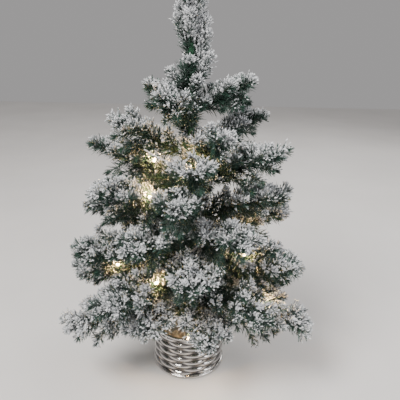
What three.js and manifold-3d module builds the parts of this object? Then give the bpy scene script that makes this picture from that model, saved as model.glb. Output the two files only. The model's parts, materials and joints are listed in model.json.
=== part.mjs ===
// Snow-flocked tabletop tree with micro lights, standing in a basket-weave pot.
// Millimetres, +Z up, origin on the table under the middle of the pot.
import * as THREE from 'three';
import { mergeVertices } from 'three/addons/utils/BufferGeometryUtils.js';
import Module from 'manifold-3d';

const wasm = await Module();
wasm.setup();

// ---- driving dimensions ----
const GAP = 0.3; // air left between pieces that touch

const POT = {
  height: 82,
  footRadius: 63,
  footHeight: 6,
  rimRadius: 62,
  rimHeight: 5,
  strandRadius: 60.6, // where one strand gives way to the next
  strandBulge: 1.6, // how far a strand stands out where it passes in front
  strands: 10,
  columns: 14,
  boreRadius: 57,
  recessRadius: 56.5,
  floorBottom: 29,
  floorTop: 32,
};
const BALLAST = { top: 60, crown: 4, facets: 56 };
const TRUNK = { radius: 5, top: 508, facets: 16 };
const WIRE = { radius: 0.8, bottom: 25.5, top: 470, entry: 100 };
const LEADER = { bottom: TRUNK.top + GAP, top: 592, radius: 12 };

const HOUSING = { radius: 56.2, bottom: 2, top: 4.6, wall: 1.5, ceiling: 22 };
const BAY = { width: 46.5, length: 59 };
const DOOR = { bottom: 2.2, thickness: 2, tabWidth: 8, tabLength: 7.5 };
const SCREW = { y: BAY.length / 2 + 4, shank: 1.3, head: 2.6, headBottom: 0.6, tip: 11 };
const CELL = { radius: 7.1, length: 49.2, nubRadius: 2.7, nubLength: 1.2, pitch: 15.1, z: 12.3 };
const CONTACT = { thickness: 0.8, height: 13, spring: 2.4 };
const BOARD = { width: 26, depth: 12, thickness: 1.6, bottom: 8, y: -42 };
const KNOB = { length: 6, width: 3.4, bottom: 1.3, x: -2, travel: 4 };

// One row per tier: where its twigs leave the trunk, how far and how high the tips reach, and
// for each branch its heading (degrees round from +X), its share of the tier's reach, and how
// far above or below the tier it is set.
const TIERS = [
  {
    height: 118, reach: 190, tip: 130, sag: 22, sprigs: 5,
    branches: [
      [-152, 1.06, -5], [-121, 0.68, 7], [-73, 0.66, 0], [-25, 1.06, 0],
      [27, 1, 4], [88, 0.75, 0], [148, 1, 4],
    ],
  },
  {
    height: 150, reach: 181, tip: 176, sag: 22, sprigs: 5,
    branches: [[-179, 1.02, -2], [-134, 0.96, 2], [-50, 0.94, -6], [8, 1, 2], [106, 0.79, 0]],
  },
  {
    height: 188, reach: 167, tip: 226, sag: 20, sprigs: 5,
    branches: [[-160, 1.04, 5], [-86, 0.82, 5], [-24, 1.04, -6], [44, 1, 5], [137, 0.98, -3]],
  },
  {
    height: 230, reach: 150, tip: 280, sag: 20, sprigs: 4,
    branches: [[177, 1.02, 6], [-122, 0.96, -6], [-58, 0.96, 6], [10, 1.04, -6], [92, 0.96, 0]],
  },
  {
    height: 274, reach: 140, tip: 332, sag: 18, sprigs: 4,
    branches: [[-152, 1.06, -2], [-98, 0.9, 6], [-20, 1, -6], [132, 1, 4]],
  },
  {
    height: 320, reach: 128, tip: 382, sag: 18, sprigs: 4,
    branches: [[172, 1.12, -8], [-86, 0.86, 5], [-30, 1.08, 5], [62, 1, 4]],
  },
  {
    height: 370, reach: 98, tip: 420, sag: 16, sprigs: 3,
    branches: [[-158, 1.04, 2], [-62, 0.92, -4], [24, 1.06, 0]],
  },
  {
    height: 436, reach: 66, tip: 470, sag: 16, sprigs: 3,
    branches: [[-112, 0.92, -8], [-8, 1.1, 4], [160, 0.88, 0]],
  },
];

const PIVOT_RADIUS = 6.8; // a branch bends where it leaves the trunk
const STEM_RADIUS = 1.3;
const NEEDLES_START = 0.1; // share of a branch that is bare stem
const TWIG = { radius: 8, steps: 6, facets: 5 };
const SPRIG = { radius: 6.5, first: 0.34, last: 0.86, spread: 35, shortest: 24, growth: 0.42, lift: 9 };

// Lights on branches: tier, place in its tier, share of its length, and whether the light
// stands up from the needles or lies along them.
const LIGHTS = [
  { tier: 1, branch: 4, at: 0.6, standing: false },
  { tier: 2, branch: 1, at: 0.6, standing: false },
  { tier: 2, branch: 2, at: 0.36, standing: false },
  { tier: 3, branch: 3, at: 0.56, standing: true },
  { tier: 4, branch: 5, at: 0.6, standing: false },
  { tier: 5, branch: 1, at: 0.42, standing: false },
  { tier: 6, branch: 1, at: 0.45, standing: true },
  { tier: 6, branch: 2, at: 0.5, standing: false },
];
const RIM_LIGHT = { x: 2, y: -54, z: 87.5, reach: 16, lead: 66 };
const LIGHT = { radius: 2.5, holder: 7, length: 13, lead: 0.6 };

const rad = THREE.MathUtils.degToRad;

// ---- materials ----
const material = (color, roughness, metalness = 0) =>
  new THREE.MeshStandardMaterial({ color, roughness, metalness });

// ---- solids ----
function toSolid(geometry) {
  const bare = geometry.clone();
  bare.deleteAttribute('normal');
  bare.deleteAttribute('uv');
  const merged = mergeVertices(bare, 1e-4);
  return new wasm.Manifold(new wasm.Mesh({
    numProp: 3,
    vertProperties: new Float32Array(merged.attributes.position.array),
    triVerts: new Uint32Array(merged.index.array),
  }));
}

function toGeometry(solid) {
  const mesh = solid.getMesh();
  const geometry = new THREE.BufferGeometry();
  geometry.setAttribute('position', new THREE.BufferAttribute(mesh.vertProperties.slice(), 3));
  geometry.setIndex(new THREE.BufferAttribute(mesh.triVerts.slice(), 1));
  return geometry;
}

const joined = (geometries) =>
  geometries.map(toSolid).reduce((whole, solid) => whole.add(solid));

function piece(name, solidOrGeometry, look) {
  const geometry = solidOrGeometry.isBufferGeometry ? solidOrGeometry : toGeometry(solidOrGeometry);
  geometry.computeVertexNormals();
  const mesh = new THREE.Mesh(geometry, look);
  mesh.name = name;
  return mesh;
}

// A body of revolution about Z from [radius, z] pairs that start and end on the axis.
function revolved(profile, facets) {
  const points = profile.map(([r, z]) => new THREE.Vector2(r, z));
  return new THREE.LatheGeometry(points, facets).rotateX(Math.PI / 2);
}

const cylinder = (radius, bottom, top, facets = 24) =>
  revolved([[0, bottom], [radius, bottom], [radius, top], [0, top]], facets);

function block(width, depth, bottom, top, x = 0, y = 0) {
  const height = top - bottom;
  return new THREE.BoxGeometry(width, depth, height).translate(x, y, bottom + height / 2);
}

// A closed round body through the given points, with its own radius at each of them.
function tapered(points, radii, facets) {
  const positions = [];
  const faces = [];
  const up = new THREE.Vector3(0, 0, 1);
  points.forEach((point, i) => {
    const before = points[Math.max(i - 1, 0)];
    const after = points[Math.min(i + 1, points.length - 1)];
    const along = after.clone().sub(before).normalize();
    const guide = Math.abs(along.z) > 0.9 ? new THREE.Vector3(1, 0, 0) : up;
    const side = guide.clone().cross(along).normalize();
    const over = along.clone().cross(side);
    for (let k = 0; k < facets; k += 1) {
      const turn = (2 * Math.PI * k) / facets;
      const spoke = side.clone().multiplyScalar(Math.cos(turn));
      spoke.addScaledVector(over, Math.sin(turn));
      positions.push(...point.clone().addScaledVector(spoke, radii[i]).toArray());
    }
  });
  for (let i = 0; i + 1 < points.length; i += 1) {
    for (let k = 0; k < facets; k += 1) {
      const next = (k + 1) % facets;
      const [a, b] = [i * facets + k, i * facets + next];
      const [c, d] = [a + facets, b + facets];
      faces.push(a, b, d, a, d, c);
    }
  }
  const first = positions.length / 3;
  positions.push(...points[0].toArray(), ...points[points.length - 1].toArray());
  const lastRing = (points.length - 1) * facets;
  for (let k = 0; k < facets; k += 1) {
    const next = (k + 1) % facets;
    faces.push(first, next, k);
    faces.push(first + 1, lastRing + k, lastRing + next);
  }
  const geometry = new THREE.BufferGeometry();
  geometry.setAttribute('position', new THREE.Float32BufferAttribute(positions, 3));
  geometry.setIndex(faces);
  return geometry;
}

// ---- pot ----
// The woven outside: each strand passes in front of every second upright, behind the others.
function wovenBody() {
  const strandHeight = (POT.height - POT.footHeight - POT.rimHeight) / POT.strands;
  const around = POT.columns * 2;
  const rings = [
    { z: 0, radius: () => POT.footRadius - 1 },
    { z: 1.5, radius: () => POT.footRadius },
    { z: POT.footHeight - 1, radius: () => POT.footRadius - 0.6 },
  ];
  for (let strand = 0; strand < POT.strands; strand += 1) {
    const bottom = POT.footHeight + strand * strandHeight;
    const bulge = (k) => (k % 2 ? 0 : POT.strandBulge * ((k / 2 + strand) % 2 ? -0.5 : 1));
    rings.push({ z: bottom, radius: () => POT.strandRadius - 0.6 });
    rings.push({ z: bottom + strandHeight / 2, radius: (k) => POT.strandRadius + bulge(k) });
  }
  rings.push({ z: POT.height - POT.rimHeight, radius: () => POT.strandRadius - 0.4 });
  rings.push({ z: POT.height - POT.rimHeight + 1, radius: () => POT.rimRadius });
  rings.push({ z: POT.height - 1, radius: () => POT.rimRadius });
  rings.push({ z: POT.height, radius: () => POT.rimRadius - 1 });

  const positions = [];
  const faces = [];
  rings.forEach(({ z, radius }) => {
    for (let k = 0; k < around; k += 1) {
      const turn = (2 * Math.PI * k) / around;
      positions.push(radius(k) * Math.cos(turn), radius(k) * Math.sin(turn), z);
    }
  });
  for (let i = 0; i + 1 < rings.length; i += 1) {
    for (let k = 0; k < around; k += 1) {
      const next = (k + 1) % around;
      const [a, b] = [i * around + k, i * around + next];
      faces.push(a, b, b + around, a, b + around, a + around);
    }
  }
  const base = positions.length / 3;
  const lastRing = (rings.length - 1) * around;
  positions.push(0, 0, 0, 0, 0, POT.height);
  for (let k = 0; k < around; k += 1) {
    const next = (k + 1) % around;
    faces.push(base, next, k, base + 1, lastRing + k, lastRing + next);
  }
  const geometry = new THREE.BufferGeometry();
  geometry.setAttribute('position', new THREE.Float32BufferAttribute(positions, 3));
  geometry.setIndex(faces);
  return geometry;
}

const wireHole = (bottom, top) => {
  const reach = TRUNK.radius + GAP + WIRE.radius;
  return cylinder(WIRE.radius + GAP, bottom, top, 12)
    .translate(reach * Math.cos(rad(WIRE.entry)), reach * Math.sin(rad(WIRE.entry)), 0);
};

function makePot() {
  const cup = cylinder(POT.boreRadius, POT.floorTop, POT.height + 1, BALLAST.facets);
  const recess = cylinder(POT.recessRadius, -1, POT.floorBottom, BALLAST.facets);
  const shell = toSolid(wovenBody())
    .subtract(toSolid(cup))
    .subtract(toSolid(recess))
    .subtract(toSolid(wireHole(POT.floorBottom - 1, POT.floorTop + 1)));
  const plug = toSolid(revolved([
    [0, POT.floorTop + GAP],
    [POT.boreRadius - GAP, POT.floorTop + GAP],
    [POT.boreRadius - GAP, BALLAST.top - BALLAST.crown],
    [POT.boreRadius * 0.6, BALLAST.top - 1],
    [TRUNK.radius * 3, BALLAST.top],
    [0, BALLAST.top],
  ], BALLAST.facets))
    .subtract(toSolid(cylinder(TRUNK.radius + GAP, POT.floorTop + 2, BALLAST.top + 1, TRUNK.facets)))
    .subtract(toSolid(wireHole(POT.floorTop - 1, BALLAST.top + 1)));
  return [
    piece('pot_shell', shell, material(0xc9c8c6, 0.14, 1)),
    piece('ballast_plug', plug, material(0x9a958c, 0.95)),
  ];
}

// ---- battery housing in the pot's underside ----
function makeHousing() {
  const walls = block(
    BAY.width + 2 * HOUSING.wall, BAY.length + 2 * HOUSING.wall, HOUSING.top - 1, HOUSING.ceiling,
  );
  const bay = block(BAY.width, BAY.length, HOUSING.bottom - 1, HOUSING.ceiling - HOUSING.wall);
  const tabNotch = block(
    DOOR.tabWidth + 2 * GAP, DOOR.tabLength + 1 + GAP, HOUSING.bottom - 1, HOUSING.top + GAP,
    0, (BAY.length + DOOR.tabLength) / 2 - 0.5 + GAP / 2,
  );
  const boss = block(11, 8, HOUSING.top - 1, SCREW.tip + 1, 0, SCREW.y);
  const slotLength = KNOB.length + KNOB.travel + 2 * GAP;
  const slot = block(slotLength, KNOB.width + 2 * GAP, HOUSING.bottom - 1, HOUSING.top + 1, 0, BOARD.y);
  const post = (x) => cylinder(1.5, HOUSING.top - 1, BOARD.bottom - GAP, 12).translate(x, BOARD.y, 0);
  const screwHole = cylinder(SCREW.shank + GAP, 0, SCREW.tip + GAP, 12).translate(0, SCREW.y, 0);
  return joined([cylinder(HOUSING.radius, HOUSING.bottom, HOUSING.top, BALLAST.facets), walls, boss])
    .add(toSolid(post(-BOARD.width / 2 + 2.5)))
    .add(toSolid(post(BOARD.width / 2 - 2.5)))
    .subtract(toSolid(bay))
    .subtract(toSolid(tabNotch))
    .subtract(toSolid(screwHole))
    .subtract(toSolid(slot));
}

function makeDoor() {
  const top = DOOR.bottom + DOOR.thickness;
  const panel = block(BAY.width - 2 * GAP, BAY.length - 2 * GAP, DOOR.bottom, top);
  const tab = block(
    DOOR.tabWidth, DOOR.tabLength + 2, DOOR.bottom, top, 0, (BAY.length + DOOR.tabLength) / 2 - 1,
  );
  const hole = cylinder(SCREW.shank + GAP, 0, top + 1, 12).translate(0, SCREW.y, 0);
  return joined([panel, tab]).subtract(toSolid(hole));
}

function makeScrew() {
  const neck = DOOR.bottom - GAP;
  return revolved([
    [0, SCREW.headBottom],
    [SCREW.head, SCREW.headBottom],
    [SCREW.head, neck - 0.3],
    [SCREW.shank, neck],
    [SCREW.shank, SCREW.tip - 1.5],
    [0, SCREW.tip],
  ], 12).translate(0, SCREW.y, 0);
}

function makeCell(index) {
  const half = CELL.length / 2;
  const outward = index === 1 ? -1 : 1;
  return revolved([
    [0, -half],
    [CELL.radius, -half],
    [CELL.radius, half],
    [CELL.nubRadius, half],
    [CELL.nubRadius, half + CELL.nubLength],
    [0, half + CELL.nubLength],
  ], 20)
    .rotateX((-outward * Math.PI) / 2)
    .translate((index - 1) * CELL.pitch, 0, CELL.z);
}

// A spring plate across one end of the bay, with a coil bump for each cell.
function makeContact(end) {
  const y = end * (BAY.length / 2 - GAP - CONTACT.thickness / 2);
  const plate = block(
    BAY.width - 2 * GAP, CONTACT.thickness, CELL.z - CONTACT.height / 2, CELL.z + CONTACT.height / 2, 0, y,
  );
  const dome = [[0, -0.4], [3.6, -0.4], [2, CONTACT.spring], [0, CONTACT.spring]];
  const bumps = [-1, 0, 1].map((cell) => revolved(dome, 10)
    .rotateX((end * Math.PI) / 2)
    .translate(cell * CELL.pitch, y, CELL.z));
  return joined([plate, ...bumps]);
}

function makeBoard() {
  const top = BOARD.bottom + BOARD.thickness;
  return joined([
    block(BOARD.width, BOARD.depth, BOARD.bottom, top, 0, BOARD.y),
    block(5, 4, top - 0.2, top + 1.4, -5, BOARD.y),
    cylinder(2.2, top - 0.2, top + 4.5, 12).translate(6, BOARD.y, 0),
  ]);
}

function makeKnob() {
  return joined([
    block(KNOB.length, KNOB.width, KNOB.bottom, HOUSING.top + GAP + 0.5, KNOB.x, BOARD.y),
    block(KNOB.length + 3, KNOB.width + 3, HOUSING.top + GAP, HOUSING.top + GAP + 1.2, KNOB.x, BOARD.y),
  ]);
}

function makeBase() {
  const plastic = material(0x2b2c2e, 0.5);
  const plated = material(0xb9b9b4, 0.3, 1);
  const cells = [0, 1, 2].map((i) => piece(`battery_${i + 1}`, makeCell(i), material(0x3d3f42, 0.35, 0.3)));
  return [
    piece('base_housing', makeHousing(), plastic),
    piece('battery_door', makeDoor(), material(0x303134, 0.5)),
    piece('door_screw', makeScrew(), plated),
    ...cells,
    piece('contact_front', makeContact(-1), plated.clone()),
    piece('contact_back', makeContact(1), plated.clone()),
    piece('timer_board', makeBoard(), material(0x1f5a3a, 0.6)),
    piece('switch_knob', makeKnob(), material(0xd8d8d4, 0.45)),
  ];
}

// ---- trunk, leader and the light wire on the trunk ----
function makeLeader() {
  const heights = [0, 0.08, 0.3, 0.6, 0.86, 1];
  const girths = [0.2, 0.75, 1, 0.95, 0.7, 0.25];
  const span = LEADER.top - LEADER.bottom;
  const points = heights.map((share) => new THREE.Vector3(0, 0, LEADER.bottom + share * span));
  return tapered(points, girths.map((girth) => girth * LEADER.radius), 10);
}

// The heading at a tier's height that is furthest from its branches, nearest to the one before.
function freeHeading(tier, from) {
  const headings = tier.branches.map(([heading]) => (heading + 360) % 360).sort((a, b) => a - b);
  const middles = headings.map((heading, i) => {
    const next = i + 1 < headings.length ? headings[i + 1] : headings[0] + 360;
    return { middle: (heading + next) / 2, width: next - heading };
  });
  const open = middles.filter(({ width }) => width > 50);
  const away = ({ middle }) => Math.abs(((((middle - from) % 360) + 540) % 360) - 180);
  const chosen = open.reduce((best, gap) => (away(gap) < away(best) ? gap : best));
  const turn = ((((chosen.middle - from) % 360) + 540) % 360) - 180;
  return from + turn;
}

function makeWire() {
  const reach = TRUNK.radius + GAP + WIRE.radius;
  const at = (heading, z) =>
    new THREE.Vector3(reach * Math.cos(rad(heading)), reach * Math.sin(rad(heading)), z);
  const clear = 11; // straight past the stems by this much, above and below
  const points = [at(WIRE.entry, WIRE.bottom), at(WIRE.entry, BALLAST.top + 6)];
  let heading = WIRE.entry;
  TIERS.forEach((tier) => {
    const next = freeHeading(tier, heading);
    const start = points[points.length - 1].z;
    const end = tier.height - clear;
    const steps = Math.ceil(Math.abs(next - heading) / 20);
    for (let i = 1; i <= steps; i += 1) {
      points.push(at(heading + ((next - heading) * i) / steps, start + ((end - start) * i) / steps));
    }
    if (!steps) points.push(at(next, end));
    points.push(at(next, tier.height + clear));
    heading = next;
  });
  points.push(at(heading, WIRE.top));
  return tapered(points, points.map(() => WIRE.radius), 6);
}

function makeTrunk() {
  const post = cylinder(TRUNK.radius, POT.floorTop + 2 + GAP, TRUNK.top, TRUNK.facets);
  return [
    piece('trunk', post, material(0x243329, 0.7)),
    piece('leader', makeLeader(), material(0x8f9a92, 0.9)),
    piece('light_wire', makeWire(), material(0x2a3b30, 0.5)),
    piece('rim_light', makeRimLight(), material(0xffe2a0, 0.2)),
  ];
}

// ---- branches ----
// Points along a branch that leaves the trunk steeply and flattens towards its tip.
function branchPath(tier, share) {
  const reach = tier.reach * share - PIVOT_RADIUS;
  const climb = (tier.tip - tier.height) * share;
  const slope = THREE.MathUtils.radToDeg(Math.atan2(climb, reach));
  const length = Math.hypot(reach, climb);
  const points = [new THREE.Vector3(0, 0, 0)];
  for (let i = 0; i < TWIG.steps; i += 1) {
    const tilt = rad(slope + tier.sag * (0.5 - (i + 0.5) / TWIG.steps));
    const step = new THREE.Vector3(Math.cos(tilt), 0, Math.sin(tilt)).multiplyScalar(length / TWIG.steps);
    points.push(points[i].clone().add(step));
  }
  return new THREE.CatmullRomCurve3(points);
}

function makeTwig(path) {
  const shares = [0, NEEDLES_START, NEEDLES_START + 0.08, 0.5, 0.86, 1];
  const radii = [
    STEM_RADIUS, STEM_RADIUS, TWIG.radius * 0.8, TWIG.radius, TWIG.radius * 0.9, TWIG.radius * 0.3,
  ];
  return tapered(shares.map((share) => path.getPointAt(share)), radii, TWIG.facets);
}

function makeSprig(path, share, side) {
  const root = path.getPointAt(share);
  const along = path.getTangentAt(share);
  const length = SPRIG.shortest + SPRIG.growth * (1 - share) * path.getLength();
  const turned = along.clone().applyAxisAngle(new THREE.Vector3(0, 0, 1), rad(side * SPRIG.spread));
  turned.z += Math.sin(rad(SPRIG.lift));
  turned.normalize();
  const shares = [0, 0.7, 1];
  const radii = [SPRIG.radius * 0.7, SPRIG.radius, SPRIG.radius * 0.3];
  return tapered(
    shares.map((s) => root.clone().addScaledVector(turned, s * length)), radii, TWIG.facets,
  );
}

function makeBranch(tier, share) {
  const path = branchPath(tier, share);
  const sprigs = [];
  for (let i = 0; i < tier.sprigs; i += 1) {
    const at = THREE.MathUtils.lerp(SPRIG.first, SPRIG.last, i / (tier.sprigs - 1));
    sprigs.push(makeSprig(path, at, i % 2 ? 1 : -1));
  }
  return joined([makeTwig(path), ...sprigs]);
}

// A micro light about Z: its holder at the bottom and its lens on top.
function makeBulb() {
  const { radius, holder, length } = LIGHT;
  return revolved([
    [0, 0],
    [radius, 0],
    [radius, holder],
    [radius * 0.8, holder + 0.4],
    [radius * 0.8, length - 1.2],
    [radius * 0.4, length],
    [0, length],
  ], 8);
}

const makeLead = (points) => tapered(points, points.map(() => LIGHT.lead), 5);

// A light on a branch, with its lead back along the branch to the trunk.
function makeLight(tier, share, { at, standing }) {
  const path = branchPath(tier, share);
  const above = (s, offset) => {
    const along = path.getTangentAt(s);
    const over = new THREE.Vector3(-along.z, 0, along.x);
    return path.getPointAt(s).addScaledVector(over, offset);
  };
  const overNeedles = TWIG.radius + GAP + LIGHT.lead;
  const rest = overNeedles + (standing ? 0.4 : LIGHT.radius);
  const lead = makeLead([
    above(0.03, STEM_RADIUS + GAP + 2 * LIGHT.lead),
    above(NEEDLES_START, overNeedles * 0.8),
    above(0.22, overNeedles + 0.4),
    above(at - 0.04, rest),
    above(at + 0.005, rest),
  ]);
  const along = path.getTangentAt(at);
  const tilt = Math.atan2(along.z, along.x);
  const bulb = makeBulb().rotateY(standing ? -tilt : Math.PI / 2 - tilt);
  const foot = above(at, standing ? overNeedles - 0.2 : rest + GAP);
  bulb.translate(...foot.toArray());
  return joined([bulb, lead]);
}

// The lowest light, which has slipped down over the rim of the pot.
function makeRimLight() {
  const { x, y, z, reach, lead } = RIM_LIGHT;
  const bulb = makeBulb().rotateX(Math.PI / 2 + 0.15).translate(x, y, z);
  const route = new THREE.CatmullRomCurve3([
    new THREE.Vector3(x, y - 1.5, z - 0.2),
    new THREE.Vector3(x, y + 6, z - 1),
    new THREE.Vector3(x, y + reach, z - 8),
    new THREE.Vector3(1, -TRUNK.radius - 4, lead + 8),
    new THREE.Vector3(0, -TRUNK.radius - GAP - LIGHT.lead - 0.5, lead),
  ]);
  return joined([bulb, makeLead(route.getPoints(10))]);
}

function makeBranches() {
  const group = new THREE.Group();
  group.name = 'branches';
  TIERS.forEach((tier, t) => {
    tier.branches.forEach(([heading, share, lift], b) => {
      const placed = new THREE.Group();
      placed.rotation.z = rad(heading);
      placed.position.set(
        PIVOT_RADIUS * Math.cos(rad(heading)), PIVOT_RADIUS * Math.sin(rad(heading)), tier.height + lift,
      );
      placed.name = `place_${t + 1}_${b + 1}`;
      placed.add(piece(`branch_${t + 1}_${b + 1}`, makeBranch(tier, share), material(0x74827a, 0.92)));
      const light = LIGHTS.find((one) => one.tier === t + 1 && one.branch === b + 1);
      if (light) {
        const glow = material(0xffe2a0, 0.2);
        placed.add(piece(`light_${t + 1}_${b + 1}`, makeLight(tier, share, light), glow));
      }
      group.add(placed);
    });
  });
  return group;
}

const tree = new THREE.Group();
tree.name = 'tabletop_tree';
tree.add(...makePot(), ...makeBase(), ...makeTrunk(), makeBranches());

export default tree;
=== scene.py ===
"""Looks of a snow-flocked tabletop tree with warm micro lights in a bright basket-weave pot."""

import json
import math

import bpy
import numpy as np
from mathutils import Matrix, Vector


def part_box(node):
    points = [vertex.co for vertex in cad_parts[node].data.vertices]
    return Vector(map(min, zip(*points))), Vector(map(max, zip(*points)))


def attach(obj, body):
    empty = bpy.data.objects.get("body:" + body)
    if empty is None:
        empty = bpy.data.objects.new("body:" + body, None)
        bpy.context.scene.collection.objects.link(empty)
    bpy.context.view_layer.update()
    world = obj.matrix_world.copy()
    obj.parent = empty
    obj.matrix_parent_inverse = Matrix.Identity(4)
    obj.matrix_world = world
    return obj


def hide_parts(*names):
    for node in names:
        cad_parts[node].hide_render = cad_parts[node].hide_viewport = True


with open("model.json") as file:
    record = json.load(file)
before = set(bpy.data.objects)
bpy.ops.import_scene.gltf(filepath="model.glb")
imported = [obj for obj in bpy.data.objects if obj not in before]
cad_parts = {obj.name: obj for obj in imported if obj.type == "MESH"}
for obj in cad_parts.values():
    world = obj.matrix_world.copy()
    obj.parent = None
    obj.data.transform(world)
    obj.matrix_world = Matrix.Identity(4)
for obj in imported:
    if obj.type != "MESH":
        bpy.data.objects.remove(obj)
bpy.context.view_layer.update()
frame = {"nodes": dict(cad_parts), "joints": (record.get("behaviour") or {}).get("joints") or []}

MM = 0.001
rng = np.random.default_rng(24)

# ---- driving dimensions, in metres and degrees, as in the CAD ----
PIVOT_RADIUS = 6.8 * MM
STEM_RADIUS = 1.3 * MM
NEEDLES_START = 0.1
TWIG_RADIUS = 8 * MM
SPRIG_FIRST, SPRIG_LAST = 0.34, 0.86
SPRIG_SPREAD, SPRIG_LIFT = 35, 9
SPRIG_SHORTEST, SPRIG_GROWTH = 24 * MM, 0.42
LIGHT_RADIUS, LIGHT_HOLDER, LIGHT_LENGTH, LEAD_RADIUS = 2.5 * MM, 7 * MM, 13 * MM, 0.6 * MM
RIM_LIGHT = np.array([2, -54, 87.5]) * MM
GAP = 0.3 * MM  # between pieces that lie on each other

# Per tier: reach and rise of the tips in mm, sag in degrees, sprigs, and each branch's share of the reach.
TIERS = [
    (190, 12, 22, 5, (1.06, 0.68, 0.66, 1.06, 1, 0.75, 1)),
    (181, 26, 22, 5, (1.02, 0.96, 0.94, 1, 0.79)),
    (167, 38, 20, 5, (1.04, 0.82, 1.04, 1, 0.98)),
    (150, 50, 20, 4, (1.02, 0.96, 0.96, 1.04, 0.96)),
    (140, 58, 18, 4, (1.06, 0.9, 1, 1)),
    (128, 62, 18, 4, (1.12, 0.86, 1.08, 1)),
    (98, 50, 16, 3, (1.04, 0.92, 1.06)),
    (66, 34, 16, 3, (0.92, 1.1, 0.88)),
]
# (tier, branch): share of the branch where the light is, and whether it stands up.
LIGHTS = {
    (1, 4): (0.6, False),
    (2, 1): (0.6, False),
    (2, 2): (0.36, False),
    (3, 3): (0.56, True),
    (4, 5): (0.6, False),
    (5, 1): (0.42, False),
    (6, 1): (0.45, True),
    (6, 2): (0.5, False),
}

# ---- needles and flock ----
NEEDLES_PER_MM = 2.1
NEEDLE_LENGTH = 24 * MM
LEAN = (34, 64)  # of a needle from its twig, in degrees
TIP_LEAN = (4, 48)  # of the needles that crowd at the end of a twig
TIP_NEEDLES, TIP_START = 1.7, 0.90  # how many per mm of needle, and where on the twig they start
TAPER_START, TAPER = 0.7, 1.3  # the needles get shorter towards the end of the twig
# A needle's shape: shares of its length, and its radius there in mm.
THICK_NEEDLE = ((0.0, 0.4, 0.7, 0.92), (0.32, 0.62, 0.82, 0.80))
THIN_NEEDLE = ((0.0, 0.7), (0.46, 0.36))
THICK_FROM = 0.38  # needles with more flock than this are thick
# How much flock a needle gains by pointing up, by its place on the twig, in patches and by chance.
FLOCK_UP, FLOCK_OUTWARD, FLOCK_PATCHES, FLOCK_CHANCE = 0.52, 0.66, 0.36, 0.16
HEAP = 9  # lumps in a clump on a twig
# How readily the needles of each tier take flock, from 0 to 1.
TIER_WHITE = (0.34, 0.09, 0.06, 0.07, 0.08, 0.09, 0.08, 0.02)
# Lumps on the needles: from and to which share of the needle, how often, and the least flock.
LUMP_BANDS = ((0.86, 1.0, 0.60, 0.42), (0.60, 0.88, 0.34, 0.54), (0.4, 0.7, 0.25, 0.70))

# ---- gaps in the needles, and the glow of the lights ----
CLEARING = 9 * MM  # round each light
OUTLOOK = np.array([0, -34, 15]) * MM  # which way, and how far, the gap at a light opens
FLOCKED_LEAD = (6, 2)  # the branch with a pale length of lead beside its light
LEAD_CLEARING = 8 * MM  # round that lead
LEAD_START = np.array([3, -6, 7]) * MM  # from the light, in the branch's frame
LEAD_RUN = np.array([4, -60, 24]) * MM
GLOW = 0.30  # watts


# ---- mesh building ----
def build(name, verts, faces, materials, face_material=None, frost=None, smooth=False):
    """A mesh object from numpy arrays; every face has the same number of corners.

    Each corner point may carry a value that the materials read: flock on a needle, painted shade in the
    grooves on the pot.
    """
    mesh = bpy.data.meshes.new(name)
    corners = faces.shape[1]
    mesh.vertices.add(len(verts))
    mesh.vertices.foreach_set("co", np.asarray(verts, np.float32).ravel())
    mesh.loops.add(faces.size)
    mesh.loops.foreach_set("vertex_index", np.asarray(faces, np.int32).ravel())
    mesh.polygons.add(len(faces))
    mesh.polygons.foreach_set("loop_start", np.arange(len(faces), dtype=np.int32) * corners)
    if face_material is not None:
        mesh.polygons.foreach_set("material_index", np.asarray(face_material, np.int32))
    for material in materials:
        mesh.materials.append(material)
    if frost is not None:
        attribute = mesh.attributes.new("frost", "FLOAT", "POINT")
        attribute.data.foreach_set("value", np.asarray(frost, np.float32))
    mesh.update(calc_edges=True)
    mesh.polygons.foreach_set("use_smooth", np.full(len(faces), smooth))
    obj = bpy.data.objects.new(name, mesh)
    bpy.context.scene.collection.objects.link(obj)
    return obj


def repeated(pattern, times, step):
    """The same faces again and again, each time on the next step vertices."""
    return (pattern[None] + (np.arange(times) * step)[:, None, None]).reshape(-1, 3)


# Material slots on the needles, and on the lights.
NEEDLE_SLOT, FLOCK_SLOT, STEM_SLOT, KNOT_SLOT = range(4)
HOLDER_SLOT, LENS_SLOT, LEAD_SLOT = range(3)


class Soup:
    """Collects triangles with a material index, and a flock value per vertex."""

    def __init__(self, gaps=()):
        self.verts, self.faces, self.slots, self.frost, self.count = [], [], [], [], 0
        self.gaps = gaps  # where no needle or flock may be: start, run and radius of each

    def in_the_open(self, *points):
        """Which rows keep all of these points out of the gaps."""
        near = np.zeros(len(points[0]), bool)
        for start, run, radius in self.gaps:
            for each in points:
                share = np.clip((each - start) @ run / (run @ run), 0, 1)
                near |= np.linalg.norm(each - start - share[:, None] * run, axis=1) < radius
        return ~near

    def add(self, verts, faces, slot, frost):
        self.verts.append(verts)
        self.faces.append(faces + self.count)
        self.slots.append(np.full(len(faces), slot))
        self.frost.append(np.broadcast_to(frost, (len(verts),)))
        self.count += len(verts)

    def merged(self, place=None):
        """Vertices, faces, material indices and frost, turned and moved to a place."""
        verts = np.concatenate(self.verts)
        if place is not None:
            turn, move = place
            verts = verts @ turn.T + move
        return verts, np.concatenate(self.faces), np.concatenate(self.slots), np.concatenate(self.frost)


def ring_faces(rings, sides):
    """Triangles between successive rings of a tube."""
    i, k = np.meshgrid(np.arange(rings - 1), np.arange(sides), indexing="ij")
    a, b = i * sides + k, i * sides + (k + 1) % sides
    quads = np.stack([a, b, b + sides, a + sides], -1).reshape(-1, 4)
    return np.concatenate([quads[:, [0, 1, 2]], quads[:, [0, 2, 3]]])


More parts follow.
